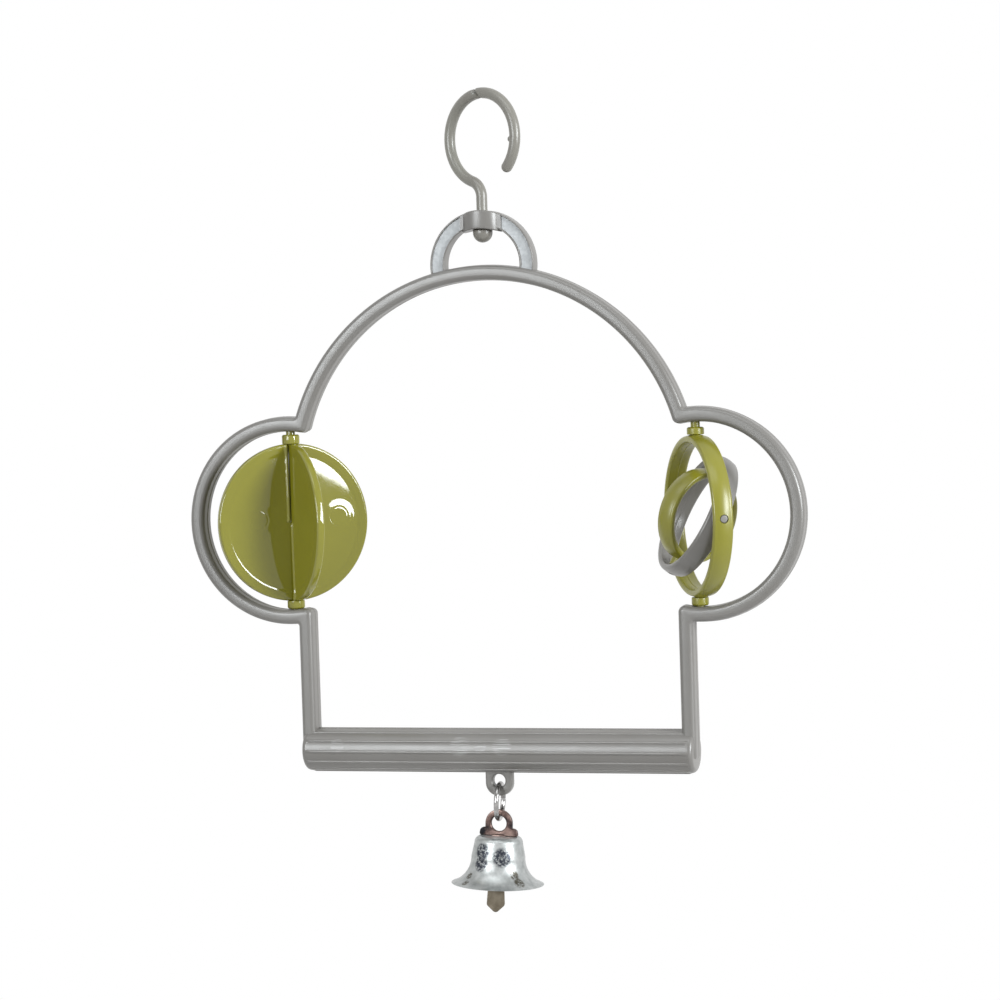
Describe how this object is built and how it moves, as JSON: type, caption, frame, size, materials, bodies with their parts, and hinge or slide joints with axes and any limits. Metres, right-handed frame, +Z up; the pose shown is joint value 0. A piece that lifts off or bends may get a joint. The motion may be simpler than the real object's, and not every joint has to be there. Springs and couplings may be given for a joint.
{
  "type": "bird swing",
  "caption": "Hanging bird swing: swivel hook, arched frame with side bows holding a spinner and a gyro of nested rings, ridged perch and a hanging bell.",
  "frame": {"origin": "inside the hook, on the rod straight above the stem, where the cage bar bears", "axes": "+Z up along the swivel axis, +X along the perch from the spinner to the gyro, -Y towards the front"},
  "size_m": [0.14, 0.0314, 0.1797],
  "materials": {
    "hook_plastic": "satin",
    "grey_plastic": "gloss",
    "olive_plastic": "gloss",
    "bright_wire": "bright",
    "browned_metal": "browned, satin",
    "bright_plate": "bright plated",
    "dull_metal": "dull"
  },
  "bodies": {
    "hook": {"hook": "hook_plastic"},
    "frame": {"frame": "grey_plastic", "perch": "grey_plastic"},
    "spinner": {"spinner_upper_disc": "olive_plastic", "spinner_lower_disc": "olive_plastic"},
    "gyro_outer": {"gyro_outer_ring": "olive_plastic"},
    "gyro_middle": {"gyro_middle_ring": "grey_plastic"},
    "gyro_inner": {"gyro_inner_ring": "olive_plastic"},
    "jump_ring": {"jump_ring": "bright_wire"},
    "bell": {"bell_hanger": "browned_metal", "bell_cup": "bright_plate"},
    "clapper": {"clapper": "dull_metal"}
  },
  "joints": [
    {"name": "hook_swivel", "type": "hinge", "parent": "hook", "child": "frame", "pos_m": [0, 0, -0.02813], "axis": [0, 0, 1], "continuous": true},
    {"name": "spinner_spin", "type": "hinge", "parent": "frame", "child": "spinner", "pos_m": [-0.0462, 0, -0.09116], "axis": [0, 0, 1], "continuous": true},
    {"name": "gyro_outer_spin", "type": "hinge", "parent": "frame", "child": "gyro_outer", "pos_m": [0.0462, 0, -0.09116], "axis": [0, 0, 1], "continuous": true},
    {"name": "gyro_middle_turn", "type": "hinge", "parent": "gyro_outer", "child": "gyro_middle", "pos_m": [0.0462, 0, -0.09116], "axis": [-0.5388, 0.8425, 0], "continuous": true},
    {"name": "gyro_inner_turn", "type": "hinge", "parent": "gyro_middle", "child": "gyro_inner", "pos_m": [0.0462, 0, -0.09116], "axis": [0.3785, 0.2421, 0.8934], "continuous": true},
    {"name": "ring_swing", "type": "hinge", "parent": "frame", "child": "jump_ring", "pos_m": [0, 0, -0.14908], "axis": [-0.1044, 0.9945, 0.006], "range_deg": [-50, 50]},
    {"name": "bell_swing", "type": "hinge", "parent": "jump_ring", "child": "bell", "pos_m": [-0.00038, 0, -0.15562], "axis": [0.9983, 0, -0.0576], "range_deg": [-40, 40]},
    {"name": "clapper_swing", "type": "hinge", "parent": "bell", "child": "clapper", "pos_m": [-0.0008, 0, -0.16301], "axis": [0, 1, 0], "range_deg": [-34, 34]}
  ]
}
